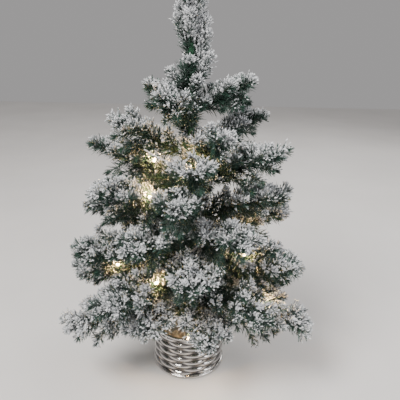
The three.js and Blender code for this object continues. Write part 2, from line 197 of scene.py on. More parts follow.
def normals_along(points):
    """Two unit normals at each point of a path."""
    tangent = np.gradient(points, axis=0)
    tangent /= np.linalg.norm(tangent, axis=1, keepdims=True)
    guide = np.where(np.abs(tangent[:, 2:3]) > 0.9, [[1.0, 0, 0]], [[0, 0, 1.0]])
    side = np.cross(guide, tangent)
    side /= np.linalg.norm(side, axis=1, keepdims=True)
    return side, np.cross(tangent, side)


def tube(points, radius, sides=8):
    """Vertices and triangles of a closed tube; its radius may vary by point, and by angle."""
    side, over = normals_along(points)
    turn = 2 * np.pi * np.arange(sides) / sides
    if np.ndim(radius) < 2:
        radius = np.broadcast_to(np.reshape(radius, (-1, 1)), (len(points), sides))
    spokes = side[:, None] * np.cos(turn)[None, :, None] + over[:, None] * np.sin(turn)[None, :, None]
    verts = points[:, None] + spokes * radius[..., None]
    caps = np.stack([points[0], points[-1]])
    verts = np.concatenate([verts.reshape(-1, 3), caps])
    k = np.arange(sides)
    first, last = len(points) * sides, (len(points) - 1) * sides
    start = np.stack([np.full(sides, first), (k + 1) % sides, k], 1)
    end = np.stack([np.full(sides, first + 1), last + k, last + (k + 1) % sides], 1)
    return verts, np.concatenate([ring_faces(len(points), sides), start, end])


def round_z(radii, heights, turn):
    """Points round Z: one ring per height, its radii by angle or all the same."""
    x, y = radii * np.cos(turn), radii * np.sin(turn)
    z = np.repeat(heights[:, None], len(turn), 1)
    return np.stack([x, y, z], -1).reshape(-1, 3)


def lathe(profile, sides):
    """Vertices and triangles of a body turned about Z from (radius, z) pairs."""
    profile = np.asarray(profile, float)
    turn = 2 * np.pi * np.arange(sides) / sides
    return round_z(profile[:, :1], profile[:, 1], turn), ring_faces(len(profile), sides)


# ---- materials ----
def new_material(name):
    material = bpy.data.materials.new(name)
    material.use_nodes = True
    tree = material.node_tree
    shader = tree.nodes["Principled BSDF"]
    return material, tree, shader


def node(tree, kind, **settings):
    """A shader node; a setting is the value of an input of that name, or else an attribute."""
    made = tree.nodes.new(kind)
    for key, value in settings.items():
        if key in made.inputs:
            made.inputs[key].default_value = value
        else:
            setattr(made, key, value)
    return made


def noise(tree, scale, detail=4.0):
    coords = node(tree, "ShaderNodeTexCoord")
    made = node(tree, "ShaderNodeTexNoise", Scale=scale, Detail=detail, Roughness=0.55)
    tree.links.new(coords.outputs["Object"], made.inputs["Vector"])
    return made.outputs["Fac"]


def ramp(tree, value, stops):
    """A colour for a value, from stops of position and colour."""
    made = node(tree, "ShaderNodeValToRGB")
    elements = made.color_ramp.elements
    while len(elements) < len(stops):
        elements.new(0.5)
    for element, (position, colour) in zip(elements, stops):
        element.position = position
        element.color = (*colour, 1)
    tree.links.new(value, made.inputs["Fac"])
    return made.outputs["Color"]


def span(tree, value, low, high):
    """A value from 0 to 1, stretched to run from low to high."""
    made = node(tree, "ShaderNodeMapRange")
    made.inputs["To Min"].default_value = low
    made.inputs["To Max"].default_value = high
    tree.links.new(value, made.inputs["Value"])
    return made.outputs["Result"]


def mix(tree, share, first, second):
    made = node(tree, "ShaderNodeMix", data_type="RGBA")
    tree.links.new(share, made.inputs["Factor"])
    tree.links.new(first, made.inputs["A"])
    tree.links.new(second, made.inputs["B"])
    return made.outputs["Result"]


def add_bump(tree, shader, height, strength, distance):
    made = node(tree, "ShaderNodeBump", Strength=strength, Distance=distance)
    tree.links.new(height, made.inputs["Height"])
    tree.links.new(made.outputs["Normal"], shader.inputs["Normal"])


def mottled(name, dark, light, scale, roughness, bump=0.0, metallic=0.0):
    """A surface whose colour and roughness wander between two values."""
    material, tree, shader = new_material(name)
    grain = noise(tree, scale)
    tree.links.new(ramp(tree, grain, [(0.3, dark), (0.7, light)]), shader.inputs["Base Color"])
    tree.links.new(span(tree, grain, *roughness), shader.inputs["Roughness"])
    shader.inputs["Metallic"].default_value = metallic
    if bump:
        add_bump(tree, shader, noise(tree, scale * 6), bump, 0.4 * MM)
    return material


def needle_material():
    """Dark green film, whitened by flock where the mesh says so."""
    material, tree, shader = new_material("flocked_needles")
    film = [(0.32, (0.006, 0.026, 0.017)), (0.68, (0.026, 0.085, 0.055))]
    powder = [(0.3, (0.13, 0.145, 0.15)), (0.65, (0.56, 0.58, 0.60))]
    green = ramp(tree, noise(tree, 90, 2), film)
    flock = ramp(tree, noise(tree, 260, 3), powder)
    frost = node(tree, "ShaderNodeAttribute", attribute_name="frost").outputs["Fac"]
    grain = noise(tree, 700, 2)
    uneven = node(tree, "ShaderNodeMath", operation="ADD")
    tree.links.new(frost, uneven.inputs[0])
    tree.links.new(span(tree, grain, -0.3, 0.3), uneven.inputs[1])
    cover = node(tree, "ShaderNodeMapRange")
    cover.inputs["From Min"].default_value = 0.32
    cover.inputs["From Max"].default_value = 0.85
    tree.links.new(uneven.outputs[0], cover.inputs["Value"])
    tree.links.new(mix(tree, cover.outputs["Result"], green, flock), shader.inputs["Base Color"])
    tree.links.new(span(tree, cover.outputs["Result"], 0.42, 0.95), shader.inputs["Roughness"])
    shader.inputs["Sheen Weight"].default_value = 0.15
    return material


def snow_material():
    """Lumps of flock."""
    material, tree, shader = new_material("flock_clumps")
    powder = [(0.3, (0.40, 0.42, 0.44)), (0.62, (0.86, 0.87, 0.88))]
    tree.links.new(ramp(tree, noise(tree, 420, 5), powder), shader.inputs["Base Color"])
    shader.inputs["Roughness"].default_value = 0.95
    shader.inputs["Sheen Weight"].default_value = 0.2
    add_bump(tree, shader, noise(tree, 1500, 3), 0.9, 0.8 * MM)
    return material


def silver_material():
    """Bright plating, with painted shade that darkens it to near black in the grooves between the strands.
    """
    material, tree, shader = new_material("plating_with_painted_groove_shade")
    bright = [(0.3, (0.50, 0.48, 0.46)), (0.7, (0.70, 0.68, 0.66))]
    groove_shade_stops = [(0.3, (0.05, 0.05, 0.05)), (0.7, (0.14, 0.135, 0.13))]
    plate = ramp(tree, noise(tree, 40), bright)
    groove_shade_colour = ramp(tree, noise(tree, 90), groove_shade_stops)
    groove_shade_mask = node(tree, "ShaderNodeAttribute", attribute_name="frost").outputs["Fac"]
    # painted shade: the plating is mixed towards near black where the mesh marks a groove
    tree.links.new(mix(tree, groove_shade_mask, plate, groove_shade_colour), shader.inputs["Base Color"])
    tree.links.new(span(tree, noise(tree, 160), 0.04, 0.13), shader.inputs["Roughness"])
    shader.inputs["Metallic"].default_value = 1.0
    add_bump(tree, shader, noise(tree, 300, 2), 0.12, 0.3 * MM)
    return material


def lens_material():
    """A warm glowing lens."""
    material, tree, shader = new_material("warm_lens")
    glow = noise(tree, 300, 1)
    amber = [(0.3, (1.0, 0.72, 0.34)), (0.7, (1.0, 0.86, 0.58))]
    shine = [(0.3, (1.0, 0.62, 0.22)), (0.7, (1.0, 0.78, 0.42))]
    tree.links.new(ramp(tree, glow, amber), shader.inputs["Base Color"])
    tree.links.new(ramp(tree, glow, shine), shader.inputs["Emission Color"])
    shader.inputs["Emission Strength"].default_value = 45
    shader.inputs["Roughness"].default_value = 0.15
    return material


NEEDLES = needle_material()
SNOW = snow_material()
SILVER = silver_material()
LENS = lens_material()
STEM = mottled("twisted_wire", (0.020, 0.028, 0.020), (0.060, 0.075, 0.055), 500, (0.35, 0.6), 0.3)
TAPE = mottled("wrapping_tape", (0.010, 0.060, 0.025), (0.030, 0.14, 0.060), 120, (0.4, 0.7), 0.3)
HOLDER = mottled("light_holder", (0.05, 0.09, 0.06), (0.10, 0.15, 0.10), 600, (0.25, 0.45))
LEAD = mottled("light_lead", (0.06, 0.10, 0.07), (0.16, 0.20, 0.15), 500, (0.25, 0.5))


# ---- needles, flock and stems ----
def patches(points):
    """A smooth wandering value from -1 to 1 for clumps of flock a few centimetres across."""
    p = points / (11 * MM)
    return (
        np.sin(p @ [1.1, 0.7, 1.3] + 0.5) * np.sin(p @ [-0.8, 1.2, 0.9] + 2.1)
        + np.sin(p @ [0.4, -1.5, 1.1] + 4.0) * np.sin(p @ [1.7, 0.3, -0.6])
    ) / 1.6


def along(points, share):
    """Position and tangent at shares of a path's length."""
    at = share * (len(points) - 1)
    low = np.clip(at.astype(int), 0, len(points) - 2)
    part = (at - low)[:, None]
    step = points[low + 1] - points[low]
    tangent = step / np.linalg.norm(step, axis=1, keepdims=True)
    return points[low] + step * part, tangent


def path_length(path):
    """The length of a path."""
    return np.linalg.norm(np.diff(path, axis=0), axis=1).sum()


def add_needles(soup, path, length, density, white, bare_start=0.0, lean=LEAN):
    """Needles round a path, so many per mm. white is how readily they take flock, from 0 to 1."""
    count = max(12, int(path_length(path) / MM * density))
    ends = int(length / MM * TIP_NEEDLES)
    share = np.concatenate([rng.uniform(bare_start, 1, count), rng.uniform(TIP_START, 1.0, ends)])
    base, tangent = along(path, share)
    n = len(share)
    radial = rng.normal(size=(n, 3))
    radial -= (radial * tangent).sum(1, keepdims=True) * tangent
    radial /= np.linalg.norm(radial, axis=1, keepdims=True)
    angle = np.radians(rng.uniform(*lean, n))
    angle[count:] = np.radians(rng.uniform(*TIP_LEAN, ends))
    direction = np.cos(angle)[:, None] * tangent + np.sin(angle)[:, None] * radial
    size = length * rng.uniform(0.60, 1.04, n)
    size *= 1 - TAPER * np.maximum(share - TAPER_START, 0)
    flock = (
        white + FLOCK_UP * direction[:, 2] + FLOCK_OUTWARD * (share - 0.55)
        + FLOCK_PATCHES * patches(base) + rng.normal(0, FLOCK_CHANCE, n)
    )
    tested = [base + direction * (size * part)[:, None] for part in (0.4, 0.7, 1)]
    keep = soup.in_the_open(*tested)
    needles = base[keep], direction[keep], size[keep], flock[keep]
    thick = needles[3] > THICK_FROM
    for chosen, shape in ((thick, THICK_NEEDLE), (~thick, THIN_NEEDLE)):
        if chosen.any():
            add_bristles(soup, *(value[chosen] for value in needles), shape)
    for band in LUMP_BANDS:
        add_needle_lumps(soup, *needles, band)


def add_needle_lumps(soup, base, direction, size, flock, band):
    """Lumps on the needles that have enough flock, drawn out along them."""
    low, high, chance, least = band
    lumpy = (flock > least) & (rng.uniform(0, 1, len(flock)) < chance)
    if lumpy.any():
        part = rng.uniform(low, high, lumpy.sum())
        centres = base[lumpy] + direction[lumpy] * (size[lumpy] * part)[:, None]
        grow = 0.8 + 0.5 * np.clip(flock[lumpy], 0, 1)
        sizes = rng.uniform(0.55, 1.1, lumpy.sum()) * grow * MM
        add_lumps(soup, centres, direction[lumpy], sizes, 2.3)


def add_bristles(soup, base, direction, size, flock, shape):
    """One closed three-sided bristle per row, slightly curved and uneven."""
    shares, radii = shape
    n, rings = len(base), len(shares)
    guide = rng.normal(size=(n, 3))
    side = np.cross(direction, guide)
    side /= np.linalg.norm(side, axis=1, keepdims=True)
    over = np.cross(direction, side)
    girth = rng.uniform(0.65, 1.15, n) * MM
    curve = side * (rng.uniform(-0.12, 0.12, n) * size)[:, None]
    verts = np.empty((n, rings * 3 + 1, 3))
    for i, (share, radius) in enumerate(zip(shares, radii)):
        centre = base + direction * (size * share)[:, None] + curve * share**2
        uneven = radius * girth * rng.uniform(0.75, 1.3, n)
        for k in range(3):
            turn = 2 * math.pi * k / 3
            spoke = side * math.cos(turn) + over * math.sin(turn)
            verts[:, i * 3 + k] = centre + spoke * uneven[:, None]
    verts[:, -1] = base + direction * size[:, None] + curve
    last = (rings - 1) * 3
    top = rings * 3
    ends = np.array([[0, 2, 1], [last, last + 1, top], [last + 1, last + 2, top], [last + 2, last, top]])
    pattern = np.concatenate([ring_faces(rings, 3), ends])
    faces = repeated(pattern, n, rings * 3 + 1)
    level = np.concatenate([np.repeat(np.asarray(shares) * 0.7 + 0.3, 3), [1.0]])
    frost = np.clip(flock, 0, 1)[:, None] * level[None]
    soup.add(verts.reshape(-1, 3), faces, NEEDLE_SLOT, frost.ravel())


# A lump is an octahedron, pulled out of shape.
LUMP_CORNERS = np.array([[1, 0, 0], [-1, 0, 0], [0, 1, 0], [0, -1, 0], [0, 0, 1], [0, 0, -1]], float)
LUMP_FACES = np.array([
    [0, 2, 4], [2, 1, 4], [1, 3, 4], [3, 0, 4], [2, 0, 5], [1, 2, 5], [3, 1, 5], [0, 3, 5],
])


def add_lumps(soup, centres, direction, sizes, stretch):
    """Small uneven lumps of flock, drawn out along a direction."""
    keep = soup.in_the_open(centres)
    centres, direction, sizes = centres[keep], direction[keep], sizes[keep]
    n, corners = len(centres), len(LUMP_CORNERS)
    shape = LUMP_CORNERS[None] * rng.uniform(0.8, 1.4, (n, corners, 1))
    shape = shape + rng.normal(0, 0.2, (n, corners, 3))
    shape += direction[:, None] * (shape * direction[:, None]).sum(2, keepdims=True) * (stretch - 1)
    verts = centres[:, None] + shape * sizes[:, None, None]
    soup.add(verts.reshape(-1, 3), repeated(LUMP_FACES, n, corners), FLOCK_SLOT, 1.0)


def add_clumps(soup, path, count, reach):
    """Flock caught on the upper side of a twig: little heaps of lumps."""
    base, tangent = along(path, rng.uniform(0.25, 1.0, count))
    outward = rng.normal(0, 0.6, (count, 3)) + np.array([0, 0, 1.0])
    outward -= tangent * (outward * tangent).sum(1, keepdims=True)
    outward /= np.linalg.norm(outward, axis=1, keepdims=True)
    centre = base + outward * (reach * rng.uniform(0.6, 0.95, count))[:, None]
    centres = np.repeat(centre, HEAP, 0) + rng.normal(0, 2.3 * MM, (count * HEAP, 3))
    sizes = rng.uniform(1.0, 2.0, count * HEAP) * MM
    add_lumps(soup, centres, np.repeat(outward, HEAP, 0), sizes, 1.5)


def add_stem(soup, path, radius):
    """Two wires twisted together, as one two-lobed tube."""
    pitch, step, sides = 7 * MM, 1.4 * MM, 8
    length = path_length(path)
    steps = max(8, int(length / step))
    points, _ = along(path, np.linspace(0, 1, steps))
    turn = 2 * np.pi * np.arange(sides) / sides
    phase = 2 * np.pi * np.linspace(0, length / pitch, steps)
    lobes = radius * (0.72 + 0.28 * np.cos(2 * (turn[None] - phase[:, None])))
    verts, faces = tube(points, lobes, sides)
    soup.add(verts, faces, STEM_SLOT, 0.0)


# ---- branches ----
def branch_path(tier, share):
    """The middle line of a branch in its own frame, rising and then levelling out."""
    reach, rise = tier[0] * MM * share - PIVOT_RADIUS, tier[1] * MM * share
    sag, steps = math.radians(tier[2]), 48
    slope, length = math.atan2(rise, reach), math.hypot(reach, rise)
    tilt = slope + sag * (0.5 - (np.arange(steps) + 0.5) / steps)
    moves = np.stack([np.cos(tilt), np.zeros(steps), np.sin(tilt)], 1) * length / steps
    return np.vstack([np.zeros(3), np.cumsum(moves, 0)])


def sprig_path(path, share, spread, lift=SPRIG_LIFT, scale=1.0):
    """A side sprig, turned away from the branch by spread and lift in degrees."""
    (root,), (ahead,) = along(path, np.array([share]))
    length = (SPRIG_SHORTEST + SPRIG_GROWTH * (1 - share) * np.linalg.norm(path[-1])) * scale
    turn = math.radians(spread)
    turned = np.array([
        ahead[0] * math.cos(turn) - ahead[1] * math.sin(turn),
        ahead[0] * math.sin(turn) + ahead[1] * math.cos(turn),
        ahead[2] + math.sin(math.radians(lift)),
    ])
    turned /= np.linalg.norm(turned)
    t = np.linspace(0, 1, 9)[:, None]
    droop = np.array([0, 0, -1.0]) * length * 0.05 * t**2
    return root + turned * length * t + droop


# Extra sprigs that round a branch out: share of the branch, spread and lift in degrees, size.
FILL = [
    (0.10, 58, 16, 0.60), (0.12, -58, 4, 0.60), (0.15, 8, 50, 0.70), (0.18, -10, -42, 0.60),
    (0.27, 38, -18, 0.70), (0.33, -20, 42, 0.92), (0.43, 12, -38, 0.90), (0.48, 16, 46, 1.00),
    (0.36, -26, -34, 0.85), (0.54, -8, -42, 0.95), (0.60, -14, 44, 1.00), (0.66, 14, -36, 0.95),
    (0.75, 8, 40, 0.90), (0.80, -12, -32, 0.80), (0.84, 26, 12, 0.74), (0.86, -26, 8, 0.74),
    (0.93, 4, 16, 0.64),
]
OVER_POT = {(1, 2), (1, 3)}  # branches in front of the pot
HANGS_WITHIN = 0.3  # on those, only sprigs this near the trunk hang down
TOP_LIFT = 20  # on the top tier nothing stands up more than this beside the leader


def add_flocked_lead(soup, light):
    """The pale, flocked length of lead beside a light, in the gap that is kept for it."""
    dip, lumps = np.array([0, 0, -5]) * MM, 90
    t = np.linspace(0, 1, 30)[:, None]
    path = light + LEAD_START + LEAD_RUN * t + dip * np.sin(np.pi * t)
    verts, faces = tube(path, 0.9 * MM, 6)
    soup.add(verts, faces, FLOCK_SLOT, 1.0)
    soup.gaps = ()
    centres, tangent = along(path, rng.uniform(0, 1, lumps))
    centres = centres + rng.normal(0, 0.5 * MM, (lumps, 3))
    add_lumps(soup, centres, tangent, rng.uniform(0.6, 1.1, lumps) * MM, 2.0)


def make_branch(path, sprigs, gaps, t, b):
    """Stem, sprigs, needles and flock of one branch, in its own frame: +X outward, +Z up."""
    soup = Soup(gaps)
    add_stem(soup, path, STEM_RADIUS * 1.1)
    needled = path[int(NEEDLES_START * len(path)):]
    white = TIER_WHITE[t - 1] + 0.08 * rng.normal()
    add_needles(soup, needled, NEEDLE_LENGTH, NEEDLES_PER_MM, white)
    add_clumps(soup, needled, 7, 13 * MM)
    for i in range(sprigs):
        at = SPRIG_FIRST + (SPRIG_LAST - SPRIG_FIRST) * i / (sprigs - 1)
        sprig = sprig_path(path, at, SPRIG_SPREAD if i % 2 else -SPRIG_SPREAD)
        add_stem(soup, sprig, STEM_RADIUS * 0.9)
        add_needles(soup, sprig, NEEDLE_LENGTH * 0.95, NEEDLES_PER_MM, white + 0.08)
        add_clumps(soup, sprig, 3, 12 * MM)
    for at, spread, lift, scale in FILL:
        hangs_low = (t, b) in OVER_POT and lift < 0 and at > HANGS_WITHIN
        if hangs_low or (t == len(TIERS) and lift > TOP_LIFT):
            continue
        scale *= rng.uniform(0.75, 1.15)
        sprig = sprig_path(path, at, spread + rng.normal(0, 14), lift + rng.normal(0, 12), scale)
        add_stem(soup, sprig, STEM_RADIUS * 0.8)
        whiter = 0.003 * lift + 0.2 * at - 0.1
        add_needles(soup, sprig, NEEDLE_LENGTH * 0.74, NEEDLES_PER_MM, white + whiter)
    return soup


def place_of(joint):
    """How a branch's own frame is turned, and where it starts."""
    axis, pivot = joint["axis"], np.array(joint["pos_m"])
    heading = math.atan2(axis[0], -axis[1])
    turn = np.array([
        [math.cos(heading), -math.sin(heading), 0],
        [math.sin(heading), math.cos(heading), 0],
        [0, 0, 1],
    ])
    return turn, pivot


def make_bulb(soup, foot, direction):
    """A holder with two collars, and a lens; returns the middle of the lens."""
    z = direction / np.linalg.norm(direction)
    x = np.cross([0.3, 1, 0.2], z)
    x /= np.linalg.norm(x)
    turn = np.stack([x, np.cross(z, x), z], 1)
    r, h, lens_length = LIGHT_RADIUS, LIGHT_HOLDER, LIGHT_LENGTH - LIGHT_HOLDER
    neck, centre = r * 0.92, 0.1 * MM
    holder = [
        (centre, 0), (r * 0.7, 0), (r * 0.8, 1.2 * MM), (r, 1.6 * MM), (r, h * 0.5),
        (neck, h * 0.52), (neck, h * 0.62), (r, h * 0.64), (r, h), (centre, h),
    ]
    shoulder = 0.45
    share = np.linspace(0, 1, 9)
    drop = np.maximum(share - shoulder, 0) / (1 - shoulder)
    dome = r * 0.8 * np.sqrt(np.maximum(1 - drop**2, 0.0004))
    lens = np.stack([dome, h + lens_length * share], 1)
    for profile, slot in ((holder, HOLDER_SLOT), (lens, LENS_SLOT)):
        verts, faces = lathe(profile, 16)
        soup.add(verts @ turn.T + foot, faces, slot, 0.0)
    return foot + z * (h + lens_length * 0.5)


def make_light(path, at, standing):
    """A light on a branch with its lead back to the trunk; returns it and the lens's middle."""
    soup = Soup()

    def above(share, offset):
        """A point over the branch, with the directions ahead and up there."""
        (point,), (ahead,) = along(path, np.array([share]))
        up = np.array([-ahead[2], 0, ahead[0]])
        return point + up * offset, ahead, up

    over = TWIG_RADIUS + GAP + LEAD_RADIUS
    rest = over + (0.4 * MM if standing else LIGHT_RADIUS)
    foot, ahead, up = above(at, over - 0.2 * MM if standing else rest + GAP)
    middle = make_bulb(soup, foot, up if standing else ahead)
    stops = [above(0.03, STEM_RADIUS + GAP + 2 * LEAD_RADIUS)[0], above(NEEDLES_START, over * 0.8)[0]]
    stops += [above(s, over + 0.4 * MM)[0] for s in np.linspace(0.22, max(at - 0.06, 0.24), 8)]
    stops += [above(at + 0.005, rest)[0]]
    stops = np.array(stops)
    stops[1:-1, 1] += 0.9 * MM * np.sin(np.arange(len(stops) - 2) * 2.1)  # it wavers from side to side
    points, _ = along(stops, np.linspace(0, 1, 60))
    verts, faces = tube(points, LEAD_RADIUS, 6)
    soup.add(verts, faces, LEAD_SLOT, 0.0)
    return soup, middle


def add_glow(name, position, body):
    """The light that a lens throws on the needles round it."""
    data = bpy.data.lights.new(name, "POINT")
    data.energy = GLOW
    data.color = (1.0, 0.62, 0.26)
    data.shadow_soft_size = 3 * MM
    lamp = bpy.data.objects.new(name, data)
    lamp.location = position
    bpy.context.scene.collection.objects.link(lamp)
    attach(lamp, body)


joints = {joint["name"]: joint for joint in frame["joints"]}


def light_gaps():
    """Room in the needles for every light to look out of, and for the pale lead."""
    gaps = [(RIM_LIGHT, OUTLOOK, CLEARING)]
    for (t, b), (at, standing) in LIGHTS.items():
        turn, pivot = place_of(joints[f"branch_{t}_{b}_bend"])
        _, middle = make_light(branch_path(TIERS[t - 1], TIERS[t - 1][4][b - 1]), at, standing)
        gaps.append((turn @ middle + pivot, OUTLOOK, CLEARING))
        if (t, b) == FLOCKED_LEAD:
            gaps.append((turn @ (middle + LEAD_START) + pivot, turn @ LEAD_RUN, LEAD_CLEARING))
    return gaps


GAPS = light_gaps()


def add_limb(t, b, tier, share):
    """A branch and its light, if it has one, on the body that bends."""
    key, body = f"{t}_{b}", f"limb_{t}_{b}"
    turn, pivot = place_of(joints[f"branch_{key}_bend"])
    path = branch_path(tier, share)
    if (t, b) in LIGHTS:
        soup, middle = make_light(path, *LIGHTS[t, b])
        verts, faces, slots, frost = soup.merged((turn, pivot))
        light = build(
            f"micro_light_{key}", verts, faces, [HOLDER, LENS, LEAD], slots, frost, smooth=True
        )
        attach(light, body)
        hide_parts(f"light_{key}")
        add_glow(f"glow_{key}", turn @ (middle + [0, 0, 3.2 * MM]) + pivot, body)
    gaps = [((start - pivot) @ turn, run @ turn, radius) for start, run, radius in GAPS]
    soup = make_branch(path, tier[3], gaps, t, b)
    if (t, b) == FLOCKED_LEAD:
        add_flocked_lead(soup, middle)
    verts, faces, slots, frost = soup.merged((turn, pivot))
    branch = build(f"needles_{key}", verts, faces, [NEEDLES, SNOW, STEM], slots, frost)
    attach(branch, body)
    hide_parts(f"branch_{key}")


for t, tier in enumerate(TIERS, 1):
    for b, share in enumerate(tier[4], 1):
        add_limb(t, b, tier, share)


# ---- pot ----
POT_HEIGHT, FOOT_RADIUS, FOOT_HEIGHT = 82 * MM, 63 * MM, 6 * MM
RIM_RADIUS, RIM_HEIGHT, BORE_RADIUS = 62 * MM, 5 * MM, 57 * MM
GROOVE_RADIUS, WEAVE_DEPTH, STRANDS, COLUMNS = 58.2 * MM, 3.6 * MM, 10, 14
SHADE_BELOW, SHADE_DEPTH = 60.3 * MM, 1.6 * MM  # painted shade in the grooves: the plating darkens inward from this radius
RECESS_RADIUS, FLOOR_BOTTOM, FLOOR_TOP = 56.5 * MM, 29 * MM, 32 * MM


def rolled_edge(radius, height, bottom, angles):
    """Rings over a rounded edge: outermost radius, height of the roll and the height it starts at."""
    bulge = height * 0.42
    return [
        (radius - bulge + bulge * math.cos(angle), bottom + height * 0.5 * (1 + math.sin(angle)))
        for angle in np.radians(angles)
    ]


def woven_rings(bottom, top, turn):
    """Strands that pass over and under, each the other way round from the one below."""
    per_strand = 9
    strand = (top - bottom) / STRANDS
    rings = []
    for j in range(STRANDS):
        wave = np.cos(COLUMNS / 2 * turn + math.pi * j)
        front = (0.5 + 0.5 * wave) ** 0.8
        for i in range(per_strand):
            v = (i + 0.5) / per_strand
            crown = math.sin(math.pi * v) ** 0.6
            radius = GROOVE_RADIUS + WEAVE_DEPTH * crown * (0.06 + 0.94 * front)
            rings.append((radius, bottom + (j + v) * strand))
    return rings


def make_pot():
    sides = 280
    turn = 2 * np.pi * np.arange(sides) / sides
    bottom, top = FOOT_HEIGHT, POT_HEIGHT - RIM_HEIGHT
    recess = [(RECESS_RADIUS, FLOOR_BOTTOM), (RECESS_RADIUS, 0.6 * MM), (RECESS_RADIUS + 0.6 * MM, 0)]
    bore = [(BORE_RADIUS, top), (BORE_RADIUS, FLOOR_TOP)]
    rings = (
        recess
        + rolled_edge(FOOT_RADIUS, FOOT_HEIGHT, 0, np.linspace(-90, 80, 9))
        + woven_rings(bottom, top, turn)
        + rolled_edge(RIM_RADIUS, RIM_HEIGHT, top, np.linspace(-70, 180, 13))
        + bore
    )
    radii = np.array([np.broadcast_to(radius, sides) for radius, _ in rings])
    heights = np.array([z for _, z in rings])
    woven = (heights > bottom) & (heights < top)
    # painted shade: the deeper a point lies in a groove between the strands, the darker the plating is
    # painted
    painted_groove_shade = np.clip((SHADE_BELOW - radii) / SHADE_DEPTH, 0, 1) * woven[:, None]
    verts = round_z(radii, heights, turn)
    low, high = len(verts), len(verts) + 1
    verts = np.vstack([verts, [0, 0, FLOOR_BOTTOM], [0, 0, FLOOR_TOP]])
    painted_groove_shade = np.append(painted_groove_shade.ravel(), [0, 0])
    k = np.arange(sides)
    last = (len(rings) - 1) * sides
    floor = np.stack([np.full(sides, low), (k + 1) % sides, k], 1)
    cover = np.stack([np.full(sides, high), last + k, last + (k + 1) % sides], 1)
    faces = np.concatenate([ring_faces(len(rings), sides), floor, cover])
    pot = build("woven_pot", verts, faces, [SILVER], frost=painted_groove_shade, smooth=True)
    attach(pot, "stand")
    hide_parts("pot_shell")


make_pot()


# ---- trunk and leader ----
TAPE_RADIUS, TAPE_LAP, TAPE_PITCH = 4.55 * MM, 0.45 * MM, 11 * MM
GARLAND_FOOT, GARLAND_STEP, GARLAND_RISE, GARLANDS = 90 * MM, 25 * MM, 42 * MM, 16
GARLAND_RADIUS, GARLAND_NEEDLE = 9 * MM, 26 * MM


def upright(bottom, top, steps):
    """Points up the middle of the tree."""
    return np.linspace([0, 0, bottom], [0, 0, top], steps)


def make_trunk():
    low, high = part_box("trunk")
    sides, step = 20, 1.6 * MM
    path = upright(low[2], high[2], int((high[2] - low[2]) / step))
    turn = 2 * np.pi * np.arange(sides) / sides
    lap = (turn[None] / (2 * np.pi) + path[:, 2:] / TAPE_PITCH) % 1
    verts, faces = tube(path, TAPE_RADIUS + TAPE_LAP * lap**0.7, sides)
    trunk = build("tape_wrapped_trunk", verts, faces, [TAPE])
    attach(trunk, "stand")
    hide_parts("trunk")


def make_garland():
    """Dark needles wound round the trunk, which fill the room between the roots of the branches."""
    soup = Soup(GAPS)
    for k in range(GARLANDS):
        foot = GARLAND_FOOT + GARLAND_STEP * k
        path = spiral_path(foot, foot + GARLAND_RISE, GARLAND_RADIUS, 137 * (k - 1))
        add_needles(soup, path, GARLAND_NEEDLE, 5.5, 0.02)
    verts, faces, slots, frost = soup.merged()
    garland = build("trunk_needles", verts, faces, [NEEDLES, SNOW, STEM], slots, frost)
    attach(garland, "stand")


def spiral_path(bottom, top, radius, start):
    """A short length of garland wound round the trunk."""
    t = np.linspace(0, 1, 9)
    turn = np.radians(start) + 2.4 * t
    return np.stack([radius * np.cos(turn), radius * np.sin(turn), bottom + (top - bottom) * t], 1)


# Shoots round the top of the trunk: heading, height of the root in m, length in mm, and splay.
SHOOTS = [
    (-20, 0.470, 54, 0.42), (40, 0.474, 56, 0.34), (100, 0.470, 54, 0.40), (170, 0.462, 44, 0.62),
    (-75, 0.462, 40, 0.72), (-150, 0.452, 40, 0.80), (-10, 0.500, 50, 0.34), (55, 0.506, 46, 0.30),
    (140, 0.512, 42, 0.34), (0, 0.526, 42, 0.32), (-165, 0.530, 40, 0.40), (175, 0.550, 34, 0.36),
    (-100, 0.536, 38, 0.36), (20, 0.552, 36, 0.30), (85, 0.556, 34, 0.36), (-50, 0.566, 30, 0.40),
    (-130, 0.568, 30, 0.36),
]


# The knot of green tape low on the leader: bottom, top, how soon it swells and thins, its bulge.
KNOT_BOTTOM, KNOT_TOP, KNOT_RISE, KNOT_FALL = 462 * MM, 520 * MM, 12 * MM, 25 * MM
KNOT_OFFSET, KNOT_BULGE = np.array([-5, -4, 0]) * MM, 2.6 * MM


def add_knot(soup, path):
    """Green tape round the foot of the leader, with short dark needles."""
    z = path[:, 2]
    swell = np.clip((z - KNOT_BOTTOM) / KNOT_RISE, 0, 1) * np.clip((KNOT_TOP - z) / KNOT_FALL, 0, 1)
    core = path + KNOT_OFFSET * swell[:, None]
    verts, faces = tube(core, 4.4 * MM + KNOT_BULGE * swell, 16)
    soup.add(verts, faces, KNOT_SLOT, 0.0)
    add_needles(soup, core, 12 * MM, 14, -0.6)


def add_shoot(soup, heading, height, length, splay):
    """A shoot beside the leader, whiter towards the top and on its right."""
    turn, foot = math.radians(heading), 4 * MM
    aim = np.array([math.cos(turn) * splay, math.sin(turn) * splay, math.sqrt(1 - splay**2)])
    root = np.array([math.cos(turn) * foot, math.sin(turn) * foot, height])
    shoot = root + aim * (length * MM) * np.linspace(0, 1, 8)[:, None]
    add_stem(soup, shoot, STEM_RADIUS * 0.8)
    white = 0.32 + 2.8 * (height - 0.46) + 0.18 * math.cos(turn)
    add_needles(soup, shoot, 17 * MM, 3.2, white, lean=(26, 54))


def make_leader():
    low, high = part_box("leader")
    soup = Soup()
    path = upright(low[2] - 4 * MM, high[2] - 8 * MM, 40)
    add_stem(soup, path, 1.8 * MM)
    add_knot(soup, path[:20])
    add_needles(soup, path, 25 * MM, 3.4, 0.58, bare_start=0.45, lean=(22, 52))
    for shoot in SHOOTS:
        add_shoot(soup, *shoot)
    verts, faces, slots, frost = soup.merged()
    leader = build("leader_needles", verts, faces, [NEEDLES, SNOW, STEM, TAPE], slots, frost)
    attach(leader, "stand")
    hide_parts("leader")


make_trunk()
make_garland()
make_leader()


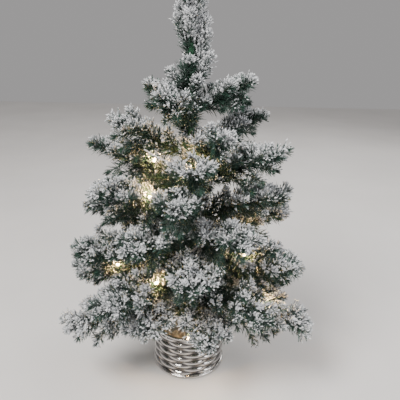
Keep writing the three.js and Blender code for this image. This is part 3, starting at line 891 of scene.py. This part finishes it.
# ---- the light that rests on the pot's rim ----
def make_rim_light():
    x, y, z = RIM_LIGHT
    nod = 0.15
    soup = Soup()
    middle = make_bulb(soup, RIM_LIGHT, np.array([0, -math.cos(nod), -math.sin(nod)]))
    stops = np.array([
        [x, y - 1.5 * MM, z - 0.2 * MM], [x, y + 6 * MM, z - 1 * MM], [x, y + 16 * MM, z - 8 * MM],
        [1 * MM, -9 * MM, 74 * MM], [0, -6.4 * MM, 66 * MM],
    ])
    points, _ = along(stops, np.linspace(0, 1, 60))
    for _ in range(6):
        points[1:-1] = (points[:-2] + points[1:-1] * 2 + points[2:]) / 4
    verts, faces = tube(points, LEAD_RADIUS, 6)
    soup.add(verts, faces, LEAD_SLOT, 0.0)
    verts, faces, slots, frost = soup.merged()
    light = build(
        "micro_light_rim", verts, faces, [HOLDER, LENS, LEAD], slots, frost, smooth=True
    )
    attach(light, "stand")
    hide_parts("rim_light")
    add_glow("glow_rim", middle + np.array([0, 0, 4 * MM]), "stand")


make_rim_light()


# ---- CAD nodes that keep their shape ----
def dress(name, material, bevel=0.0):
    """Give a CAD node a material, and round its edges."""
    obj = frame["nodes"][name]
    obj.data.materials.clear()
    obj.data.materials.append(material)
    if bevel:
        rounding = obj.modifiers.new("rounding", "BEVEL")
        rounding.width = bevel
        rounding.segments = 2
        rounding.limit_method = "ANGLE"


PLASTER = mottled("cast_plaster", (0.30, 0.28, 0.25), (0.52, 0.49, 0.45), 60, (0.85, 0.98), 0.7)
HOUSING = mottled("black_housing", (0.012, 0.012, 0.013), (0.030, 0.030, 0.032), 300, (0.35, 0.6), 0.35)
DOOR = mottled("black_door", (0.015, 0.015, 0.016), (0.036, 0.036, 0.038), 320, (0.35, 0.55), 0.4)
STEEL = mottled("plated_steel", (0.45, 0.45, 0.44), (0.70, 0.70, 0.68), 200, (0.2, 0.4), 0.2, 1.0)
CELL = mottled("cell_jacket", (0.03, 0.035, 0.04), (0.07, 0.08, 0.09), 90, (0.2, 0.35), metallic=0.4)
BOARD = mottled("circuit_board", (0.010, 0.07, 0.035), (0.025, 0.13, 0.07), 200, (0.3, 0.55), 0.2)
KNOB = mottled("switch_plastic", (0.62, 0.62, 0.60), (0.75, 0.75, 0.73), 400, (0.3, 0.5), 0.2)

EDGE = 0.3 * MM

dress("ballast_plug", PLASTER)
dress("base_housing", HOUSING, EDGE)
dress("battery_door", DOOR, EDGE)
dress("door_screw", STEEL)
dress("timer_board", BOARD)
dress("switch_knob", KNOB, EDGE)
dress("light_wire", LEAD)
for end in ("contact_front", "contact_back"):
    dress(end, STEEL)
for number in (1, 2, 3):
    dress(f"battery_{number}", CELL, EDGE)


# ---- floor, light and camera ----
# Soft lamps aimed at the middle of the tree: name, place, size, watts and colour.
LAMPS = [
    ("key", (-0.85, -0.95, 1.9), 0.8, 70, (1.0, 0.97, 0.94)),
    ("fill", (1.3, -0.7, 1.2), 1.0, 15, (0.97, 0.97, 1.0)),
    ("back", (0.9, 1.3, 1.5), 1.2, 18, (1.0, 0.98, 0.96)),
]
LAMP_AIM = Vector((0, 0, 0.3))
CAMERA_PLACE, CAMERA_DOWN, CAMERA_ROLL, CAMERA_LENS = (0.0155, -0.633, 0.546), 21, 1.2, 38.6


def make_stage():
    verts = np.array([[-3, -2, 0], [3, -2, 0], [3, 3, 0], [-3, 3, 0]], float)
    material = mottled("pale_floor", (0.66, 0.64, 0.62), (0.72, 0.70, 0.68), 3, (0.6, 0.75))
    build("pale_floor", verts, np.array([[0, 1, 2, 3]]), [material])


def area_light(name, place, size, power, colour):
    data = bpy.data.lights.new(name, "AREA")
    data.energy, data.size, data.color = power, size, colour
    lamp = bpy.data.objects.new(name, data)
    lamp.location = place
    lamp.rotation_euler = (LAMP_AIM - Vector(place)).to_track_quat("-Z", "Y").to_euler()
    bpy.context.scene.collection.objects.link(lamp)


def make_world():
    world = bpy.data.worlds.new("studio")
    bpy.context.scene.world = world
    world.use_nodes = True
    sky = world.node_tree.nodes["Background"]
    sky.inputs["Color"].default_value = (0.90, 0.88, 0.88, 1)
    sky.inputs["Strength"].default_value = 0.40


def make_camera():
    data = bpy.data.cameras.new("camera")
    data.sensor_width = 36
    data.lens = CAMERA_LENS
    camera = bpy.data.objects.new("camera", data)
    camera.location = CAMERA_PLACE
    pitch = Matrix.Rotation(math.radians(90 - CAMERA_DOWN), 3, "X")
    roll = Matrix.Rotation(math.radians(CAMERA_ROLL), 3, "Z")
    camera.rotation_euler = (pitch @ roll).to_euler()
    bpy.context.scene.collection.objects.link(camera)
    bpy.context.scene.camera = camera


make_stage()
make_world()
for lamp in LAMPS:
    area_light(*lamp)
make_camera()
